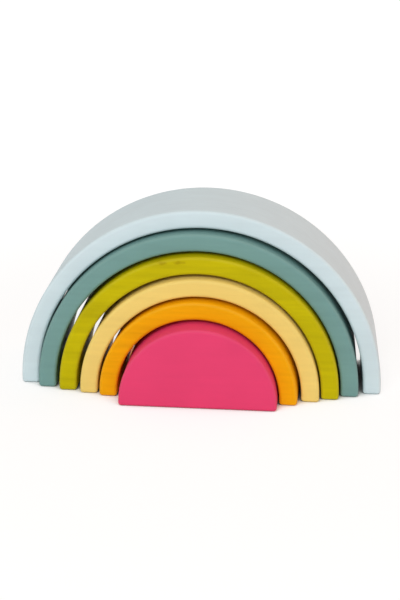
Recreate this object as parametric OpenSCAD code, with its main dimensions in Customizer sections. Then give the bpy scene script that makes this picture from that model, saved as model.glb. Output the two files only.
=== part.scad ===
// Rainbow stacker: five arches nest over a solid half-round core. Every piece is sawn from wood,
// rounded over along its edges and painted, and stands loose in the tunnel of the next larger one.
// Millimetres, +Z up. The nest stands on z = 0 and its front faces -Y.

/* [Nest] */
// Width of the outer arch across its feet
nest_width = 180; // [150:1:220]
// Depth of every piece, from its front face to its back face
depth = 48; // [40:1:64]
// Thickness of the wood in every arch
wall = 8.8; // [7:0.1:10]
// Gap between every inner piece and the arch around it
gap = 1.5; // [1.4:0.1:3]
// Radius of the round-over along every edge
edge_round = 1.6; // [0.8:0.1:2.4]
// Straight part of every foot, between its round-over and the half circle
foot_straight = 0.2; // [0.2:0.1:6]

/* [Step forward of each inner piece] */
// How far the sea arch stands out in front of the sky arch
sea_step = 4.8; // [0:0.1:15]
// How far the leaf arch stands out in front of the sea arch
leaf_step = 3.9; // [0:0.1:15]
// How far the straw arch stands out in front of the leaf arch
straw_step = 3.3; // [0:0.1:15]
// How far the amber arch stands out in front of the straw arch
amber_step = 4; // [0:0.1:15]
// How far the rose core stands out in front of the amber arch
rose_step = 9.7; // [0:0.1:15]

/* [Lie of each inner piece across its gap, from -1 at the left wall to 1 at the right wall] */
// Lie of the front of the sea arch
sea_front_lie = -0.55; // [-0.75:0.05:0.75]
// Lie of the back of the sea arch
sea_back_lie = -0.65; // [-0.75:0.05:0.75]
// Lie of the front of the leaf arch
leaf_front_lie = 0.4; // [-0.75:0.05:0.75]
// Lie of the back of the leaf arch
leaf_back_lie = 0.65; // [-0.75:0.05:0.75]
// Lie of the front of the straw arch
straw_front_lie = 0.45; // [-0.75:0.05:0.75]
// Lie of the back of the straw arch
straw_back_lie = 0.75; // [-0.75:0.05:0.75]
// Lie of the front of the amber arch
amber_front_lie = -0.2; // [-0.75:0.05:0.75]
// Lie of the back of the amber arch
amber_back_lie = 0.75; // [-0.75:0.05:0.75]
// Lie of the front of the rose core
rose_front_lie = 0.75; // [-0.75:0.05:0.75]
// Lie of the back of the rose core
rose_back_lie = -0.35; // [-0.75:0.05:0.75]

/* [Hidden] */
NODES = ["sky_arch", "sea_arch", "leaf_arch", "straw_arch", "amber_arch", "rose_core"];
$fn = 96;

// Place of a piece in the lists below, which run from the outer arch inwards like the names
function place(name) = search([name], NODES)[0];

sky = place("sky_arch");
sea = place("sea_arch");
leaf = place("leaf_arch");
straw = place("straw_arch");
amber = place("amber_arch");
rose = place("rose_core");

// The outer arch stands in no tunnel, so its own entries are zero
step = [0, sea_step, leaf_step, straw_step, amber_step, rose_step];
front_lie = [0, sea_front_lie, leaf_front_lie, straw_front_lie, amber_front_lie, rose_front_lie];
back_lie = [0, sea_back_lie, leaf_back_lie, straw_back_lie, amber_back_lie, rose_back_lie];

// Height of the straight leg, from the ground to the centre of the half circle
leg = edge_round + foot_straight;
// How far a cutter runs past the wood that it rounds over
overrun = 1;

// Outer radius of a piece: each one inwards is smaller by the wall around it and the gap between them
function radius(piece) = nest_width / 2 - piece * (wall + gap);

// A flat vector, turned by an angle
function turned(angle, v) = [v.x * cos(angle) - v.y * sin(angle), v.x * sin(angle) + v.y * cos(angle)];

// Heading of a piece seen from above: that of its tunnel, and its own turn between the tunnel's walls
function heading(piece) =
    piece == sky
        ? 0
        : heading(piece - 1) + asin((front_lie[piece] - back_lie[piece]) * gap / depth);

// Middle of a piece's front face seen from above, with the outer arch's front face at y = 0
function front(piece) =
    piece == sky
        ? [0, 0]
        : front(piece - 1) + turned(heading(piece - 1), [front_lie[piece] * gap, -step[piece]]);

// Centre of the core's upright round-over at a front corner, on the left or the right side
function core_corner(side) =
    front(rose) + turned(heading(rose), [side * (radius(rose) - edge_round), edge_round]);

// The origin lies halfway between the core's foremost corner and the outer arch's back face
nest_front = min(core_corner(-1).y, core_corner(1).y) - edge_round;
nest_middle = (nest_front + depth) / 2;

// A rectangle with rounded corners, centred on the origin: the section of every piece
module rounded_section(width) {
    flat_width = width - 2 * edge_round;
    flat_depth = depth - 2 * edge_round;
    square([flat_width, depth], center = true);
    square([width, flat_depth], center = true);
    for (x = [-1, 1], y = [-1, 1])
        translate([x * flat_width / 2, y * flat_depth / 2])
            circle(edge_round);
}

// What rounding over takes off one bottom edge: the edge runs along Y and the wood lies towards -X
module bottom_cutter(run) {
    translate([-edge_round, 0, edge_round])
        rotate([90, 0, 0])
            linear_extrude(run + 2 * overrun, center = true)
                difference() {
                    translate([0, -edge_round - overrun])
                        square(edge_round + overrun);
                    circle(edge_round);
                }
}

// A straight leg on the ground, rounded over along its uprights and around its foot
module rounded_leg(width) {
    difference() {
        linear_extrude(leg)
            rounded_section(width);
        for (side = [0, 180])
            rotate(side)
                translate([width / 2, 0, 0])
                    bottom_cutter(depth);
        for (side = [90, 270])
            rotate(side)
                translate([depth / 2, 0, 0])
                    bottom_cutter(width);
    }
}

// Half a turn of a section about the middle of the piece, standing on top of the legs
module half_turn() {
    translate([0, 0, leg])
        rotate([90, 0, 0])
            rotate_extrude(angle = 180)
                children();
}

// An arch of an outer radius, standing on its two feet
module arch(outer) {
    wall_middle = outer - wall / 2;
    half_turn()
        translate([wall_middle, 0])
            rounded_section(wall);
    for (side = [-1, 1])
        translate([side * wall_middle, 0, 0])
            rounded_leg(wall);
}

// A solid half-round of an outer radius, standing on its flat base
module half_round(outer) {
    half_turn()
        intersection() {
            rounded_section(2 * outer);
            translate([0, -depth / 2])
                square([outer, depth]);
        }
    rounded_leg(2 * outer);
}

// Moves a piece from the middle of the ground to its own place in the nest
module in_nest(piece) {
    translate([front(piece).x, front(piece).y - nest_middle, 0])
        rotate(heading(piece))
            translate([0, depth / 2, 0])
                children();
}

// The largest arch: every other piece stands under it
module sky_arch() {
    color("#cbd9dd")
        in_nest(sky)
            arch(radius(sky));
}

module sea_arch() {
    color("#759993")
        in_nest(sea)
            arch(radius(sea));
}

module leaf_arch() {
    color("#c0b00a")
        in_nest(leaf)
            arch(radius(leaf));
}

module straw_arch() {
    color("#efca73")
        in_nest(straw)
            arch(radius(straw));
}

// The smallest arch, with the core in its tunnel
module amber_arch() {
    color("#ed9e0f")
        in_nest(amber)
            arch(radius(amber));
}

// The solid middle of the nest
module rose_core() {
    color("#e64571")
        in_nest(rose)
            half_round(radius(rose));
}

sky_arch();
sea_arch();
leaf_arch();
straw_arch();
amber_arch();
rose_core();
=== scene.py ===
"""Rainbow stacker: five painted wooden arches, nested over a solid half-round core.

Every piece stands where the frame has its solid. Metres, +Z up, with the front of the nest towards -Y.
"""

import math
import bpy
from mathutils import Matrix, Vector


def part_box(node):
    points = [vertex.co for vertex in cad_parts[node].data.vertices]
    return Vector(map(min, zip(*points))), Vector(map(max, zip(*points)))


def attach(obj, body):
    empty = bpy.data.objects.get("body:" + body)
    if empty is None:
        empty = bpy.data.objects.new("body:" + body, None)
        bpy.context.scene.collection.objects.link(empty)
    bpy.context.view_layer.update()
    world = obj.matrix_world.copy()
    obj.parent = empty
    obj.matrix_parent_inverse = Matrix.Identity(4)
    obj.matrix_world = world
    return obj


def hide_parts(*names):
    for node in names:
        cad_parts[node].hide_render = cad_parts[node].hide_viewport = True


bl_info = {
    "name": "Rainbow Stacker",
    "version": (1, 0, 0),
    "blender": (4, 5, 0),
    "location": "View3D > Sidebar > Stacker",
    "description": "Builds a nest of painted wooden arches over a solid half-round core",
    "category": "Add Mesh",
}

import bmesh
import bpy
from bpy.props import FloatProperty, FloatVectorProperty, IntProperty, PointerProperty
from mathutils import Matrix, Vector

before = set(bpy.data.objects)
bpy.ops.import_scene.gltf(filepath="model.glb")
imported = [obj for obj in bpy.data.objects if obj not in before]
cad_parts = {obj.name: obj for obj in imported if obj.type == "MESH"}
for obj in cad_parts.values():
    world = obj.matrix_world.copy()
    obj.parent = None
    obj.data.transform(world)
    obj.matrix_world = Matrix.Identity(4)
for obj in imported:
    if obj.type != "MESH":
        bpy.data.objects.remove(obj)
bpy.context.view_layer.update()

ARCHES = ("sky_arch", "sea_arch", "leaf_arch", "straw_arch", "amber_arch")
CORE = "rose_core"
# How strongly the grain of the wood shows through the paint of each piece
GRAIN = {
    "sky_arch": 0.4,
    "sea_arch": 0.7,
    "leaf_arch": 1.6,
    "straw_arch": 0.6,
    "amber_arch": 1.2,
    "rose_core": 0.25,
}
# Patterns in the paint: lumps per metre along each axis, and how many finer layers they have
PATTERNS = {
    "streaks": ((30, 420, 420), 3),
    "figure": ((9, 70, 70), 3),
    "clouds": ((45, 45, 45), 2),
    "specks": ((500, 500, 900), 2),
    "pores": ((160, 2200, 2200), 1),
}
# Darkest and lightest tone of the paint, as shares of its colour, and the plain tone's place between them
DARK_TONE, LIGHT_TONE = 0.88, 1.12
PLAIN_PLACE = 0.5
# How much the broad figure adds to the grain, and the clouds to the tone
FIGURE_SHARE = 0.7
CLOUD_SHARE = 0.5
# How much the clouds break up the lighter edges, a painted highlight with some wear, and how much of the
# bare wood's colour is in their tint
EDGE_LIGHT_PATCHES = 1.5
EDGE_TINT_WOOD_SHARE = 0.12
# How much the clouds and the streaks change the roughness
CLOUD_SHINE = 0.2
STREAK_SHINE = 0.1
# Relief of the grain: how much the pores add to the streaks, its strength and its height
PORE_SHARE = 0.4
RELIEF_STRENGTH = 0.3
RELIEF_HEIGHT = 0.0001

# Small knots that show in the front of a piece: their middles, and their size along each axis
KNOTS = {"leaf_arch": ((-0.0097, -0.0197, 0.0682), (-0.0176, -0.0197, 0.0677))}
KNOT_SIZE = (0.0032, 0.006, 0.0012)
# Share of the paint's red, green and blue that is left in a knot
KNOT_TONE = (0.76, 0.7, 0.5)
# Where a knot starts and where it is darkest, in knot sizes from its middle, and how much specks fray it
KNOT_RIM, KNOT_HEART = 1.2, 0.1
KNOT_FRAY = 1.6

# Point attribute that says how round the wood is: 0 on a flat, 1 halfway round an edge
ROUND_OVER = "round_over"
# How far the largest part of a direction falls short of 1, halfway round an edge
HALFWAY_ROUND = 1 - math.sqrt(0.5)
# Points that lie closer together than this are one point
SAME_POINT = 1e-6
# A face looks to the front where the Y of its normal is less than this
FRONT_FACING = -0.99

# Point that the lamps and the camera look at
TARGET = Vector((-0.00087, 0, 0.04311))
# Width and place of each lamp
LAMPS = {
    "key": (1.2, Vector((-0.2, -1.5, 1.1))),
    "top": (1.4, Vector((0.15, 0.15, 1.6))),
    "side": (1.0, Vector((1.5, 0.45, 0.4))),
}

# The floor reaches this far from the middle to each side
FLOOR_REACH = 4.0
FLOOR_ROUGHNESS = 0.9
# Brightness of the white that the floor fades into
FLOOR_GLOW = 1.08
# Share of that white at the nest, and the distances between which it grows to the whole
GLOW_AT_NEST = 0.7
GLOW_NEAR, GLOW_FAR = 0.12, 0.5
# How far away wood still shelters a point of the floor
SHELTER_REACH = 0.06
# Open share of a point's surroundings: none of the white shows up to the first, all of it from the second
SHADOW_OPEN, CLEAR_OPEN = 0.3, 0.6
# Painted shade: the floor's colour is dark up to the first such share, as deep in the narrow gaps, and pale
# from the second
GAP_OPEN, PALE_OPEN = 0.02, 0.2
GAP_PAINTED_SHADE = (0.12, 0.12, 0.12, 1)

WHITE = (1, 1, 1, 1)

# The outer arch stands square in the frame, so its box gives the sizes that all the pieces share
SKY_LOW, SKY_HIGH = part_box("sky_arch")
DEPTH = SKY_HIGH.y - SKY_LOW.y
LEG = SKY_HIGH.z - (SKY_HIGH.x - SKY_LOW.x) / 2


def from_hex(code):
    """Linear colour of a six-digit web colour, by the sRGB curve."""
    channels = (int(code[i : i + 2], 16) / 255 for i in (1, 3, 5))
    return tuple(c / 12.92 if c <= 0.04045 else ((c + 0.055) / 1.055) ** 2.4 for c in channels)


def length(name, description, default):
    """Property: a length in metres."""
    return FloatProperty(
        name=name, description=description, default=default, min=0, unit="LENGTH", precision=4
    )


def share(name, description, default):
    """Property: a share, from none to all."""
    return FloatProperty(
        name=name, description=description, default=default, min=0, max=1, subtype="FACTOR"
    )


def angle(name, description, degrees):
    """Property: an angle."""
    return FloatProperty(
        name=name, description=description, default=math.radians(degrees), subtype="ANGLE"
    )


def steps(name, description, default):
    """Property: a count of faces."""
    return IntProperty(name=name, description=description, default=default, min=2)


def watts(name, description, default):
    """Property: the power of a lamp."""
    return FloatProperty(name=name, description=description, default=default, min=0, unit="POWER")


def colour(name, description, code):
    """Property: a colour."""
    return FloatVectorProperty(
        name=name, description=description, default=from_hex(code), subtype="COLOR", size=3, min=0, max=1
    )


class StackerSizes(bpy.types.PropertyGroup):
    """Sizes that all the pieces share."""

    depth: length("Depth", "From the front face of a piece to its back face", DEPTH)
    leg: length("Leg", "From the ground to the centre of a half circle", LEG)
    wall: length("Wall", "Thickness of the wood in every arch", 0.0088)
    edge_round: length("Edge round", "Radius of the round-over along every edge", 0.0016)
    round_steps: steps("Round steps", "Faces across a round-over", 6)
    wall_steps: steps("Wall steps", "Faces across the flat of an arch's wall", 4)
    depth_steps: steps("Depth steps", "Faces along the flat of a piece's depth", 8)
    turn_steps: steps("Turn steps", "Faces along a half circle", 128)


class StackerPaints(bpy.types.PropertyGroup):
    """Paint of each piece, and how the wood under it shows."""

    sky_arch: colour("Sky", "Paint of the outer arch", "#cedee3")
    sea_arch: colour("Sea", "Paint of the second arch", "#739995")
    leaf_arch: colour("Leaf", "Paint of the third arch", "#bdb002")
    straw_arch: colour("Straw", "Paint of the fourth arch", "#ecce74")
    amber_arch: colour("Amber", "Paint of the smallest arch", "#eda502")
    rose_core: colour("Rose", "Paint of the core", "#e1426f")
    # Painted highlight and wear: the edges are painted lighter, towards the bare wood's colour, by the edge
    # share below
    bare_wood: colour("Bare wood", "Wood that shows where the paint is rubbed thin", "#f3dcb4")
    edge_highlight_and_wear: share("Edge wear", "How thin the paint is rubbed along the edges", 0.2)
    gloss: share("Gloss", "How much light the satin paint mirrors", 0.08)
    roughness: share("Roughness", "How much the paint blurs what it mirrors", 0.46)


class StackerStage(bpy.types.PropertyGroup):
    """Floor, light and camera."""

    floor: colour("Floor", "Colour of the floor and the background", "#f8f8f6")
    room_light: share("Room light", "Strength of the even light from all around", 0.42)
    key_light: watts("Key light", "Power of the large lamp in front, up on the left", 18.7)
    top_light: watts("Top light", "Power of the large lamp overhead", 4.1)
    side_light: watts("Side light", "Power of the large lamp on the right", 5.6)
    key_tint: colour("Key tint", "Colour of the lamp in front", "#fafdff")
    top_tint: colour("Top tint", "Colour of the lamp overhead", "#ffcfa4")
    side_tint: colour("Side tint", "Colour of the lamp on the right", "#ffbba4")
    azimuth: angle("Azimuth", "How far the camera stands to the right of the front", 4.58)
    elevation: angle("Elevation", "How far the camera looks down", 18.88)
    roll: angle("Roll", "How far the camera leans", 0.29)
    distance: length("Distance", "From the camera to the point that it looks at", 0.6658)
    focal_length: FloatProperty(
        name="Focal length", description="Focal length of the lens", default=80.22, min=1, unit="CAMERA"
    )


class NodeSheet:
    """Adds nodes to a tree. A value is a number, a vector or the output of another node."""

    def __init__(self, tree):
        self.tree = tree

    def feed(self, socket, value):
        """Joins a socket to an output, or sets it."""
        if isinstance(value, bpy.types.NodeSocket):
            self.tree.links.new(value, socket)
        else:
            socket.default_value = value

    def add(self, kind, inputs=None, **options):
        """A new node with its options and its named or numbered inputs."""
        node = self.tree.nodes.new(kind)
        for name, value in options.items():
            setattr(node, name, value)
        for key, value in (inputs or {}).items():
            self.feed(node.inputs[key], value)
        return node

    def math(self, operation, *values):
        """Output of a calculation with numbers."""
        node = self.add("ShaderNodeMath", dict(enumerate(values)), operation=operation)
        return node.outputs["Value"]

    def vector(self, operation, *values):
        """Output of a calculation with vectors."""
        node = self.add("ShaderNodeVectorMath", dict(enumerate(values)), operation=operation)
        return node.outputs["Vector"]

    def joined(self, x, y, z):
        """A vector from three numbers."""
        return self.add("ShaderNodeCombineXYZ", {"X": x, "Y": y, "Z": z}).outputs["Vector"]

    def parts(self, vector):
        """The three numbers of a vector."""
        return self.add("ShaderNodeSeparateXYZ", {"Vector": vector}).outputs

    def between(self, value, low, high):
        """A number, held between two others."""
        return self.math("MAXIMUM", self.math("MINIMUM", value, high), low)

    def ramp(self, value, low, high, start=0.0, end=1.0):
        """A number that goes smoothly from its start to its end while a value goes from low to high."""
        limits = {"From Min": low, "From Max": high, "To Min": start, "To Max": end}
        node = self.add("ShaderNodeMapRange", {"Value": value, **limits}, interpolation_type="SMOOTHSTEP")
        return node.outputs["Result"]

    def distance(self, vector):
        """Length of a vector."""
        return self.add("ShaderNodeVectorMath", {0: vector}, operation="LENGTH").outputs["Value"]

    def noise(self, place, density, detail):
        """Noise around 0, with a density in lumps per metre along each axis."""
        scaled = self.vector("MULTIPLY", place, density)
        node = self.add("ShaderNodeTexNoise", {"Vector": scaled, "Scale": 1.0, "Detail": detail})
        return self.math("SUBTRACT", node.outputs["Fac"], 0.5)

    def mixed(self, factor, first, second):
        """A blend of two colours."""
        node = self.add("ShaderNodeMix", data_type="RGBA")
        sockets = {socket.identifier: socket for socket in (*node.inputs, *node.outputs)}
        self.feed(sockets["Factor_Float"], factor)
        self.feed(sockets["A_Color"], first)
        self.feed(sockets["B_Color"], second)
        return sockets["Result_Color"]


def settings():
    """The add-on's settings in the scene at hand: sizes, paints and stage."""
    scene = bpy.context.scene
    return scene.stacker_sizes, scene.stacker_paints, scene.stacker_stage


def piece_radius(node):
    """Outer radius of a piece, which the height of its solid gives."""
    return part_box(node)[1].z - LEG


def piece_centre(node):
    """Middle of a piece on the ground."""
    low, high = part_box(node)
    return Vector(((low.x + high.x) / 2, (low.y + high.y) / 2, 0))


def piece_heading(node):
    """Turn of a piece seen from above, from the way that its flat front face looks."""
    front_faces = [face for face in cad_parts[node].data.polygons if face.normal.y < FRONT_FACING]
    front = max(front_faces, key=lambda face: face.area).normal
    return math.atan2(front.x, -front.y)


def finish_piece(mesh, node):
    """Makes a piece's object, which stands for its solid and moves with its body."""
    piece = bpy.data.objects.new(f"painted_{node}", mesh)
    bpy.context.scene.collection.objects.link(piece)
    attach(piece, node)
    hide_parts(node)


def painted_wood(node, paints):
    """Satin paint over close-grained wood, whose grain runs along X and shows faintly through the paint."""
    paint = Vector(getattr(paints, node))
    material = bpy.data.materials.new(f"painted_wood_{node}")
    material.use_nodes = True
    sheet = NodeSheet(material.node_tree)
    shader = material.node_tree.nodes["Principled BSDF"]
    place = sheet.add("ShaderNodeTexCoord").outputs["Object"]
    patterns = {name: sheet.noise(place, *pattern) for name, pattern in PATTERNS.items()}
    streaks, clouds = patterns["streaks"], patterns["clouds"]

    # The paint is a little darker and lighter where the grain has taken up more or less of it
    grain = sheet.math("MULTIPLY_ADD", patterns["figure"], FIGURE_SHARE, streaks)
    tone = sheet.math("MULTIPLY_ADD", grain, GRAIN[node], PLAIN_PLACE)
    tone = sheet.between(sheet.math("MULTIPLY_ADD", clouds, CLOUD_SHARE, tone), 0, 1)
    coat = sheet.mixed(tone, (*(paint * DARK_TONE), 1), (*(paint * LIGHT_TONE), 1))

    for knot in KNOTS.get(node, ()):
        away = sheet.distance(sheet.vector("DIVIDE", sheet.vector("SUBTRACT", place, knot), KNOT_SIZE))
        ragged = sheet.math("MULTIPLY_ADD", patterns["specks"], KNOT_FRAY, away)
        dark = (*(paint * Vector(KNOT_TONE)), 1)
        coat = sheet.mixed(sheet.ramp(ragged, KNOT_RIM, KNOT_HEART), coat, dark)

    # Painted highlight and wear: the round-overs are painted lighter, in patches, partly as the highlight
    # where they catch the light and partly as paint rubbed thin by handling
    edge = sheet.add("ShaderNodeAttribute", attribute_name=ROUND_OVER).outputs["Fac"]
    lit_and_rubbed = sheet.math("MULTIPLY_ADD", clouds, EDGE_LIGHT_PATCHES, 1)
    lit_and_rubbed = sheet.math("MULTIPLY", sheet.math("MULTIPLY", edge, lit_and_rubbed), paints.edge_highlight_and_wear)
    edge_tint = paint.lerp(Vector(paints.bare_wood), EDGE_TINT_WOOD_SHARE)
    coat_with_light_edges = sheet.mixed(sheet.between(lit_and_rubbed, 0, 1), coat, (*edge_tint, 1))
    sheet.feed(shader.inputs["Base Color"], coat_with_light_edges)

    shader.inputs["Specular IOR Level"].default_value = paints.gloss
    shine = sheet.math("MULTIPLY_ADD", clouds, CLOUD_SHINE, paints.roughness)
    sheet.feed(shader.inputs["Roughness"], sheet.math("MULTIPLY_ADD", streaks, STREAK_SHINE, shine))
    relief = sheet.math("MULTIPLY_ADD", patterns["pores"], PORE_SHARE, streaks)
    bump = sheet.add(
        "ShaderNodeBump", {"Strength": RELIEF_STRENGTH, "Distance": RELIEF_HEIGHT, "Height": relief}
    )
    sheet.feed(shader.inputs["Normal"], bump.outputs["Normal"])
    return material


def arch_tree():
    """Nodes that round over a straight bar of wood and bend it into an arch on two short legs."""
    tree = bpy.data.node_groups.new("Bent arch", "GeometryNodeTree")
    inputs = {
        "NodeSocketFloat": ("Outer Radius", "Wall", "Depth", "Leg", "Edge Round", "Heading"),
        "NodeSocketInt": ("Round Steps", "Wall Steps", "Depth Steps", "Turn Steps"),
        "NodeSocketVector": ("Centre",),
        "NodeSocketMaterial": ("Paint",),
    }
    for kind, names in inputs.items():
        for name in names:
            tree.interface.new_socket(name=name, in_out="INPUT", socket_type=kind)
    tree.interface.new_socket(name="Geometry", in_out="OUTPUT", socket_type="NodeSocketGeometry")
    sheet = NodeSheet(tree)
    given = sheet.add("NodeGroupInput").outputs

    # The bar: X runs across the wall, Y along the depth and Z along the path, from right foot to left
    middle_radius = sheet.math("MULTIPLY_ADD", given["Wall"], -0.5, given["Outer Radius"])
    quarter_turn = sheet.math("MULTIPLY", middle_radius, math.pi / 2)
    half_path = sheet.math("ADD", quarter_turn, given["Leg"])
    half_wall = sheet.math("MULTIPLY", given["Wall"], 0.5)
    half_depth = sheet.math("MULTIPLY", given["Depth"], 0.5)
    edge = sheet.joined(given["Edge Round"], given["Edge Round"], given["Edge Round"])
    flat_size = sheet.vector("SUBTRACT", sheet.joined(half_wall, half_depth, half_path), edge)
    flat_steps = sheet.joined(given["Wall Steps"], given["Depth Steps"], given["Turn Steps"])
    both_rounds = sheet.math("MULTIPLY", given["Round Steps"], 2)
    all_steps = sheet.vector("ADD", flat_steps, sheet.joined(both_rounds, both_rounds, both_rounds))
    rows = sheet.parts(sheet.vector("ADD", all_steps, (1, 1, 1)))
    block = sheet.add(
        "GeometryNodeMeshCube",
        {"Size": (2, 2, 2), "Vertices X": rows["X"], "Vertices Y": rows["Y"], "Vertices Z": rows["Z"]},
    )

    # Each point of the block has a place on the flats and a direction across the round-overs
    flat_share = sheet.vector("DIVIDE", flat_steps, all_steps)
    point = sheet.add("GeometryNodeInputPosition").outputs["Position"]
    on_flat = sheet.vector("DIVIDE", point, flat_share)
    on_flat = sheet.vector("MAXIMUM", sheet.vector("MINIMUM", on_flat, (1, 1, 1)), (-1, -1, -1))
    past_flat = sheet.vector("SUBTRACT", point, sheet.vector("MULTIPLY", on_flat, flat_share))
    on_round = sheet.vector("DIVIDE", past_flat, sheet.vector("SUBTRACT", (1, 1, 1), flat_share))
    eighth_turn = (math.pi / 4,) * 3
    outward = sheet.vector("TANGENT", sheet.vector("MULTIPLY", on_round, eighth_turn))
    outward = sheet.vector("NORMALIZE", outward)

    # Rows of points crowd towards the round-overs, so that the flats are shaded flat
    crowded = sheet.parts(sheet.vector("SINE", sheet.vector("MULTIPLY", on_flat, (math.pi / 2,) * 3)))
    along = sheet.parts(on_flat)["Z"]
    flat_point = sheet.vector("MULTIPLY", sheet.joined(crowded["X"], crowded["Y"], along), flat_size)
    bar = sheet.parts(sheet.vector("MULTIPLY_ADD", outward, edge, flat_point))

    # The bend: the path turns about the centre of the half circle, then drops straight to the ground.
    # It goes from right to left, because the other way round would mirror the bar and turn it inside out
    turned = sheet.between(bar["Z"], sheet.math("MULTIPLY", quarter_turn, -1), quarter_turn)
    bend = sheet.math("DIVIDE", turned, middle_radius)
    drop = sheet.math("SUBTRACT", sheet.math("ABSOLUTE", bar["Z"]), sheet.math("ABSOLUTE", turned))
    reach = sheet.math("ADD", middle_radius, bar["X"])
    x = sheet.math("MULTIPLY", reach, sheet.math("SINE", sheet.math("MULTIPLY", bend, -1)))
    rise = sheet.math("MULTIPLY", reach, sheet.math("COSINE", bend))
    z = sheet.math("SUBTRACT", sheet.math("ADD", rise, given["Leg"]), drop)
    headed = sheet.add(
        "ShaderNodeVectorRotate",
        {"Vector": sheet.joined(x, bar["Y"], z), "Angle": given["Heading"]},
        rotation_type="Z_AXIS",
    )
    placed = sheet.vector("ADD", headed.outputs["Vector"], given["Centre"])

    sides = sheet.parts(sheet.vector("ABSOLUTE", outward))
    squarest = sheet.math("MAXIMUM", sheet.math("MAXIMUM", sides["X"], sides["Y"]), sides["Z"])
    roundness = sheet.math("DIVIDE", sheet.math("SUBTRACT", 1, squarest), HALFWAY_ROUND)
    marked = sheet.add(
        "GeometryNodeStoreNamedAttribute",
        {"Geometry": block.outputs["Mesh"], "Name": ROUND_OVER, "Value": sheet.between(roundness, 0, 1)},
    )
    shaped = sheet.add(
        "GeometryNodeSetPosition", {"Geometry": marked.outputs["Geometry"], "Position": placed}
    )
    smooth = sheet.add("GeometryNodeSetShadeSmooth", {"Geometry": shaped.outputs["Geometry"]})
    whole = sheet.add("GeometryNodeRealizeInstances", {"Geometry": smooth.outputs["Geometry"]})
    painted = sheet.add(
        "GeometryNodeSetMaterial", {"Geometry": whole.outputs["Geometry"], "Material": given["Paint"]}
    )
    sheet.add("NodeGroupOutput", {"Geometry": painted.outputs["Geometry"]})
    return tree


def arch_mesh(node, tree, sizes, paint):
    """Plain mesh of one arch, from the nodes."""
    values = {
        "Outer Radius": piece_radius(node),
        "Wall": sizes.wall,
        "Depth": sizes.depth,
        "Leg": sizes.leg,
        "Edge Round": sizes.edge_round,
        "Heading": piece_heading(node),
        "Round Steps": sizes.round_steps,
        "Wall Steps": sizes.wall_steps,
        "Depth Steps": sizes.depth_steps,
        "Turn Steps": sizes.turn_steps,
        "Centre": piece_centre(node),
        "Paint": paint,
    }
    maker = bpy.data.objects.new(f"maker_{node}", bpy.data.meshes.new(f"maker_{node}"))
    bpy.context.scene.collection.objects.link(maker)
    modifier = maker.modifiers.new("Bent arch", "NODES")
    modifier.node_group = tree
    for socket in tree.interface.items_tree:
        if socket.in_out == "INPUT":
            modifier[socket.identifier] = values[socket.name]
    graph = bpy.context.evaluated_depsgraph_get()
    mesh = bpy.data.meshes.new_from_object(maker.evaluated_get(graph))
    maker.modifiers.remove(modifier)
    bpy.data.objects.remove(maker)
    return mesh


class STACKER_OT_arches(bpy.types.Operator):
    """Builds the five arches"""

    bl_idname = "stacker.arches"
    bl_label = "Arches"

    def execute(self, context):
        sizes, paints, _ = settings()
        tree = arch_tree()
        for node in ARCHES:
            finish_piece(arch_mesh(node, tree, sizes, painted_wood(node, paints)), node)
        return {"FINISHED"}


def core_outline(sizes, radius, inset):
    """Outline of the core's front, drawn in by an inset: x, z and the squareness at each of its points."""
    corner = max(sizes.edge_round, inset)
    reach = radius - inset
    points = []
    for step in range(sizes.turn_steps + 1):
        turn = math.pi * step / sizes.turn_steps
        points.append((reach * math.cos(turn), sizes.leg + reach * math.sin(turn), 1.0))
    for side, start in ((-1, math.pi), (1, 1.5 * math.pi)):
        for step in range(sizes.round_steps + 1):
            turn = start + math.pi / 2 * step / sizes.round_steps
            x = side * (radius - corner) + (corner - inset) * math.cos(turn)
            z = corner + (corner - inset) * math.sin(turn)
            points.append((x, z, max(abs(math.cos(turn)), abs(math.sin(turn)))))
    return points


def core_rings(sizes):
    """Depth, inset and slope of each ring of the core, from its front face to its back face."""
    flat_half = sizes.depth / 2 - sizes.edge_round
    rings = [(-sizes.depth / 2, sizes.leg, 0.0)]
    for step in range(sizes.round_steps + 1):
        turn = math.pi / 2 * step / sizes.round_steps
        y = -flat_half - sizes.edge_round * math.cos(turn)
        rings.append((y, sizes.edge_round * (1 - math.sin(turn)), turn))
    for step in range(1, sizes.depth_steps // 2):
        crowded = math.cos(math.pi * step / sizes.depth_steps)
        rings.append((-flat_half * crowded, 0.0, math.pi / 2))
    mirrored = [(-y, inset, turn) for y, inset, turn in reversed(rings)]
    return rings + [(0.0, 0.0, math.pi / 2)] + mirrored


def core_mesh(node, sizes, paint):
    """Solid half-round: rings of its outline, joined from front to back and closed by two flat faces."""
    radius = piece_radius(node)
    place = Matrix.Translation(piece_centre(node)) @ Matrix.Rotation(piece_heading(node), 4, "Z")
    shape = bmesh.new()
    roundness = shape.verts.layers.float.new(ROUND_OVER)
    rings = []
    for y, inset, turn in core_rings(sizes):
        ring = []
        for x, z, squareness in core_outline(sizes, radius, inset):
            point = shape.verts.new(place @ Vector((x, y, z)))
            squarest = max(math.cos(turn), math.sin(turn) * squareness)
            point[roundness] = (1 - squarest) / HALFWAY_ROUND
            ring.append(point)
        rings.append(ring)
    count = len(rings[0])
    for ring, behind in zip(rings, rings[1:]):
        for i in range(count):
            after = (i + 1) % count
            shape.faces.new((ring[i], behind[i], behind[after], ring[after]))
    shape.faces.new(rings[0])
    shape.faces.new(reversed(rings[-1]))
    bmesh.ops.remove_doubles(shape, verts=shape.verts, dist=SAME_POINT)
    bmesh.ops.recalc_face_normals(shape, faces=shape.faces)
    for face in shape.faces:
        face.smooth = True
    mesh = bpy.data.meshes.new(f"painted_{node}")
    shape.to_mesh(mesh)
    shape.free()
    mesh.materials.append(paint)
    return mesh


class STACKER_OT_core(bpy.types.Operator):
    """Builds the half-round core"""

    bl_idname = "stacker.core"
    bl_label = "Core"

    def execute(self, context):
        sizes, paints, _ = settings()
        finish_piece(core_mesh(CORE, sizes, painted_wood(CORE, paints)), CORE)
        return {"FINISHED"}


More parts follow.
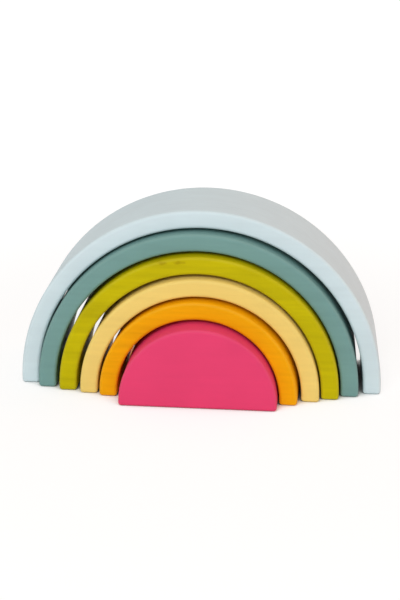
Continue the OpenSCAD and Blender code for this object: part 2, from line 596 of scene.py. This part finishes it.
def seen_directly(sheet):
    """1 where the camera looks, straight or by a mirror or through glass, and 0 for light that spreads."""
    path = sheet.add("ShaderNodeLightPath").outputs
    seen = sheet.math("MAXIMUM", path["Is Camera Ray"], path["Is Glossy Ray"])
    return sheet.math("MAXIMUM", seen, path["Is Transmission Ray"])


def floor_material(stage):
    """Pale floor: painted dark inside the narrow gaps as shade, shaded around the nest, and white further
    out.
    """
    material = bpy.data.materials.new("pale_floor")
    material.use_nodes = True
    sheet = NodeSheet(material.node_tree)
    shader = material.node_tree.nodes["Principled BSDF"]
    shader.inputs["Roughness"].default_value = FLOOR_ROUGHNESS
    glow = sheet.add("ShaderNodeEmission", {"Color": WHITE, "Strength": FLOOR_GLOW})
    away = sheet.distance(sheet.add("ShaderNodeTexCoord").outputs["Object"])
    open_air = sheet.add("ShaderNodeAmbientOcclusion", {"Distance": SHELTER_REACH}).outputs["AO"]
    # Painted shade: the floor's own colour darkens where wood shelters it, most of all deep in the narrow
    # gaps
    shade = sheet.mixed(sheet.ramp(open_air, GAP_OPEN, PALE_OPEN), GAP_PAINTED_SHADE, (*stage.floor, 1))
    sheet.feed(shader.inputs["Base Color"], shade)
    whiter = sheet.ramp(away, GLOW_NEAR, GLOW_FAR, GLOW_AT_NEST, 1)
    lift = sheet.math("MULTIPLY", whiter, sheet.ramp(open_air, SHADOW_OPEN, CLEAR_OPEN))
    lift = sheet.math("MULTIPLY", lift, seen_directly(sheet))
    mix = sheet.add(
        "ShaderNodeMixShader", {0: lift, 1: shader.outputs["BSDF"], 2: glow.outputs["Emission"]}
    )
    sheet.feed(material.node_tree.nodes["Material Output"].inputs["Surface"], mix.outputs["Shader"])
    return material


def add_floor(stage):
    """A wide floor under the nest."""
    corners = [(x * FLOOR_REACH, y * FLOOR_REACH, 0) for x, y in ((-1, -1), (1, -1), (1, 1), (-1, 1))]
    mesh = bpy.data.meshes.new("floor")
    mesh.from_pydata(corners, [], [(0, 1, 2, 3)])
    mesh.materials.append(floor_material(stage))
    floor = bpy.data.objects.new("floor", mesh)
    bpy.context.scene.collection.objects.link(floor)


def add_room(stage):
    """Even light from all around, on a white background."""
    world = bpy.data.worlds.new("room")
    world.use_nodes = True
    bpy.context.scene.world = world
    sheet = NodeSheet(world.node_tree)
    room = world.node_tree.nodes["Background"]
    room.inputs["Color"].default_value = WHITE
    room.inputs["Strength"].default_value = stage.room_light
    white = sheet.add("ShaderNodeBackground", {"Color": WHITE, "Strength": 1})
    mix = sheet.add(
        "ShaderNodeMixShader",
        {0: seen_directly(sheet), 1: room.outputs["Background"], 2: white.outputs["Background"]},
    )
    sheet.feed(world.node_tree.nodes["World Output"].inputs["Surface"], mix.outputs["Shader"])


def look_at(place, target):
    """Turn of a lamp or camera that stands at a place and looks at a target."""
    return (target - place).to_track_quat("-Z", "Y").to_matrix().to_4x4()


def add_lamp(name, power, tint, size, place):
    """A large square lamp that looks at the nest."""
    lamp = bpy.data.lights.new(name, "AREA")
    lamp.energy = power
    lamp.color = tint
    lamp.size = size
    holder = bpy.data.objects.new(name, lamp)
    bpy.context.scene.collection.objects.link(holder)
    holder.matrix_world = Matrix.Translation(place) @ look_at(place, TARGET)


def add_camera(stage):
    """Camera at the angle of the photograph."""
    flat = math.cos(stage.elevation)
    right = math.sin(stage.azimuth) * flat
    forward = -math.cos(stage.azimuth) * flat
    place = TARGET + Vector((right, forward, math.sin(stage.elevation))) * stage.distance
    data = bpy.data.cameras.new("camera")
    data.lens = stage.focal_length
    camera = bpy.data.objects.new("camera", data)
    bpy.context.scene.collection.objects.link(camera)
    upright = Matrix.Translation(place) @ look_at(place, TARGET)
    camera.matrix_world = upright @ Matrix.Rotation(stage.roll, 4, "Z")
    bpy.context.scene.camera = camera


class STACKER_OT_stage(bpy.types.Operator):
    """Sets the floor, the light and the camera"""

    bl_idname = "stacker.stage"
    bl_label = "Stage"

    def execute(self, context):
        stage = settings()[2]
        context.scene.view_settings.view_transform = "Standard"
        add_floor(stage)
        add_room(stage)
        for name, (size, place) in LAMPS.items():
            power = getattr(stage, f"{name}_light")
            tint = getattr(stage, f"{name}_tint")
            add_lamp(f"{name}_lamp", power, tint, size, place)
        add_camera(stage)
        return {"FINISHED"}


class STACKER_PT_panel(bpy.types.Panel):
    """Lists the pieces, the stage and their settings"""

    bl_idname = "STACKER_PT_panel"
    bl_label = "Rainbow Stacker"
    bl_space_type = "VIEW_3D"
    bl_region_type = "UI"
    bl_category = "Stacker"

    def draw(self, context):
        for group in settings():
            box = self.layout.box()
            for name in group.bl_rna.properties.keys():
                if name not in ("rna_type", "name"):
                    box.prop(group, name)
        for operator in OPERATORS:
            self.layout.operator(operator.bl_idname)


GROUPS = {"stacker_sizes": StackerSizes, "stacker_paints": StackerPaints, "stacker_stage": StackerStage}
OPERATORS = (STACKER_OT_arches, STACKER_OT_core, STACKER_OT_stage)
CLASSES = (*GROUPS.values(), *OPERATORS, STACKER_PT_panel)


def register():
    """Adds the classes, and the settings to the scene."""
    for cls in CLASSES:
        bpy.utils.register_class(cls)
    for name, group in GROUPS.items():
        setattr(bpy.types.Scene, name, PointerProperty(type=group))


def unregister():
    """Takes the settings and the classes away again."""
    for name in GROUPS:
        delattr(bpy.types.Scene, name)
    for cls in reversed(CLASSES):
        bpy.utils.unregister_class(cls)


def main():
    """Builds the whole scene."""
    register()
    bpy.ops.stacker.stage()
    bpy.ops.stacker.arches()
    bpy.ops.stacker.core()


if __name__ == "__main__":
    main()
